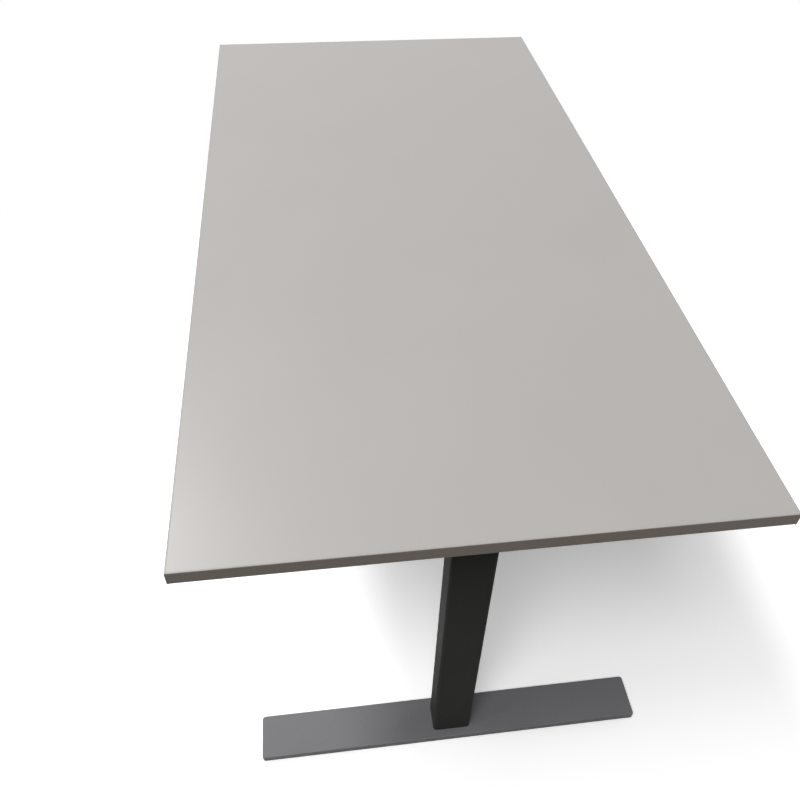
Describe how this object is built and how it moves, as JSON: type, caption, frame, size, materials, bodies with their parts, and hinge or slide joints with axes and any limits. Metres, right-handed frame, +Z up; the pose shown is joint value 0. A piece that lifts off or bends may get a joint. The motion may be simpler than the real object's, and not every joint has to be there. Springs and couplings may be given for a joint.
{
  "type": "height-adjustable desk",
  "caption": "Electric sit-stand desk: flat rectangular top on two telescopic T-legs with flat bar feet, spindle drives inside the columns and a hand switch below the front edge.",
  "frame": {"origin": "on the floor, under the middle of the desktop", "axes": "+X along the desk to the user's right, +Y from the user's side to the back, +Z up"},
  "size_m": [1.6, 0.8, 0.735],
  "materials": {
    "top_laminate": "matte warm grey laminate with a very fine grain",
    "edge_banding": "matte edging in the laminate's hue, a little darker",
    "foot_coating": "satin graphite powder coat",
    "leg_coating": "satin black powder coat",
    "guide_plastic": "matte black moulded guide",
    "glide_plastic": "matte black moulded foot",
    "case_plastic": "fine textured black moulding",
    "button_plastic": "satin dark grey moulding",
    "fastener_steel": "bright zinc plating",
    "drive_steel": "plain machined steel",
    "gearbox_alloy": "die-cast alloy",
    "nut_brass": "machined brass"
  },
  "bodies": {
    "base": {"foot_left": "foot_coating", "foot_right": "foot_coating", "outer_column_left": "leg_coating", "outer_column_right": "leg_coating", "base_block_left": "drive_steel", "base_block_right": "drive_steel", "push_tube_left": "drive_steel", "push_tube_right": "drive_steel", "spindle_nut_left": "nut_brass", "spindle_nut_right": "nut_brass", "foot_screws_left": "fastener_steel", "foot_screws_right": "fastener_steel", "guide_collar_left": "guide_plastic", "guide_collar_right": "guide_plastic"},
    "lift": {"inner_column_left": "leg_coating", "inner_column_right": "leg_coating", "guide_slider_left": "guide_plastic", "guide_slider_right": "guide_plastic", "motor_left": "drive_steel", "motor_right": "drive_steel", "gearbox_left": "gearbox_alloy", "gearbox_right": "gearbox_alloy", "spindle_bearing_left": "drive_steel", "spindle_bearing_right": "drive_steel", "head_plate_left": "leg_coating", "head_plate_right": "leg_coating", "support_arm_left": "leg_coating", "support_arm_right": "leg_coating", "arm_screws_left": "fastener_steel", "arm_screws_right": "fastener_steel", "rail_bolts_left": "fastener_steel", "rail_bolts_right": "fastener_steel", "desktop_core": "top_laminate", "edge_band_front": "edge_banding", "edge_band_back": "edge_banding", "edge_band_left": "edge_banding", "edge_band_right": "edge_banding", "rail_front": "leg_coating", "rail_back": "leg_coating", "control_box": "case_plastic", "control_box_screws": "fastener_steel", "handset_case": "case_plastic", "handset_screws": "fastener_steel"},
    "spindle_left": {"spindle_left": "drive_steel"},
    "glide_left_front": {"glide_left_front": "glide_plastic"},
    "glide_left_back": {"glide_left_back": "glide_plastic"},
    "spindle_right": {"spindle_right": "drive_steel"},
    "glide_right_front": {"glide_right_front": "glide_plastic"},
    "glide_right_back": {"glide_right_back": "glide_plastic"},
    "button_up": {"button_up": "button_plastic"},
    "button_down": {"button_down": "button_plastic"}
  },
  "joints": [
    {"name": "lift_slide", "type": "slide", "parent": "base", "child": "lift", "axis": [0, 0, 1], "range_m": [-0.035, 0.425]},
    {"name": "spindle_left_spin", "type": "hinge", "parent": "lift", "child": "spindle_left", "pos_m": [-0.699, 0, 0.3], "axis": [0, 0, 1], "continuous": true},
    {"name": "glide_left_front_screw", "type": "slide", "parent": "base", "child": "glide_left_front", "axis": [0, 0, 1], "range_m": [-0.004, 0]},
    {"name": "glide_left_back_screw", "type": "slide", "parent": "base", "child": "glide_left_back", "axis": [0, 0, 1], "range_m": [-0.004, 0]},
    {"name": "spindle_right_spin", "type": "hinge", "parent": "lift", "child": "spindle_right", "pos_m": [0.699, 0, 0.3], "axis": [0, 0, 1], "continuous": true},
    {"name": "glide_right_front_screw", "type": "slide", "parent": "base", "child": "glide_right_front", "axis": [0, 0, 1], "range_m": [-0.004, 0]},
    {"name": "glide_right_back_screw", "type": "slide", "parent": "base", "child": "glide_right_back", "axis": [0, 0, 1], "range_m": [-0.004, 0]},
    {"name": "button_up_press", "type": "slide", "parent": "lift", "child": "button_up", "axis": [0, 1, 0], "range_m": [0, 0.0012], "stiffness_N_per_m": 400},
    {"name": "button_down_press", "type": "slide", "parent": "lift", "child": "button_down", "axis": [0, 1, 0], "range_m": [0, 0.0012], "stiffness_N_per_m": 400}
  ],
  "couplings": [
    {"joint": "spindle_left_spin", "follows": "lift_slide", "rad_per_m": 314.16},
    {"joint": "spindle_right_spin", "follows": "lift_slide", "rad_per_m": 314.16}
  ]
}
